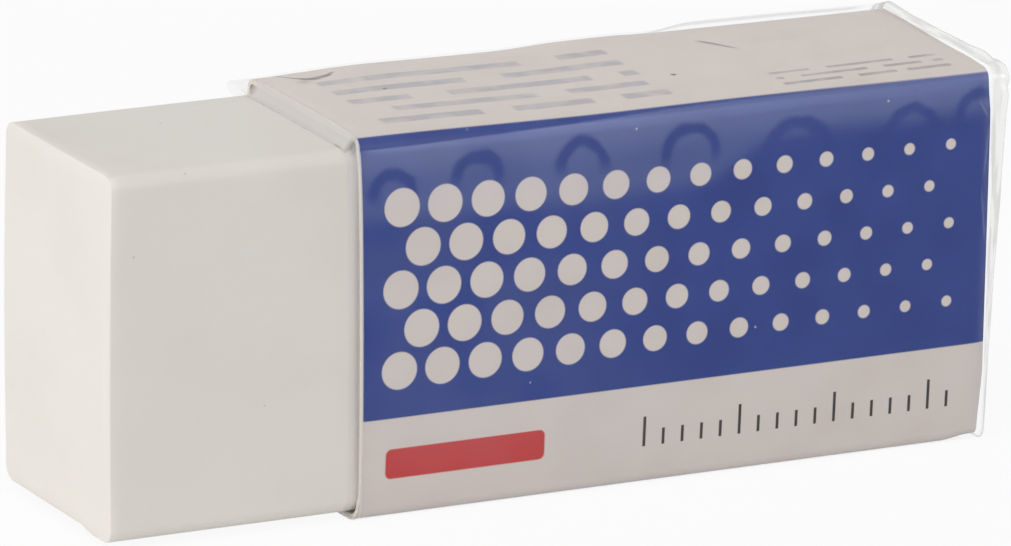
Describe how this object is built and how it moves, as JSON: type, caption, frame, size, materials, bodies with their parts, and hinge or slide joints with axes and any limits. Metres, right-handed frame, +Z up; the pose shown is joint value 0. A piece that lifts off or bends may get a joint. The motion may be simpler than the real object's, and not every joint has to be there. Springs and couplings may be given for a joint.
{
  "type": "rubber eraser",
  "caption": "White vinyl eraser block that slides in a folded, printed card sleeve, with a clear film band round the sleeve.",
  "frame": {"origin": "middle of the face that it rests on, at the centre of the whole object's length and width", "axes": "+X along the block, from its bare end towards the sleeve's far end; -Y is the printed front panel; +Z up"},
  "size_m": [0.0468, 0.0118, 0.0182],
  "materials": {
    "vinyl": "soft matt white, slightly translucent",
    "printed_card": "smooth coated card, printed blue over white",
    "clear_film": "clear, glossy, lightly creased and scuffed"
  },
  "bodies": {
    "sleeve": {"card_sleeve": "printed_card", "film_band": "clear_film"},
    "block": {"eraser_block": "vinyl"}
  },
  "joints": [
    {"name": "block_slide", "type": "slide", "parent": "sleeve", "child": "block", "axis": [-1, 0, 0], "range_m": [-0.01285, 0.0325]}
  ]
}
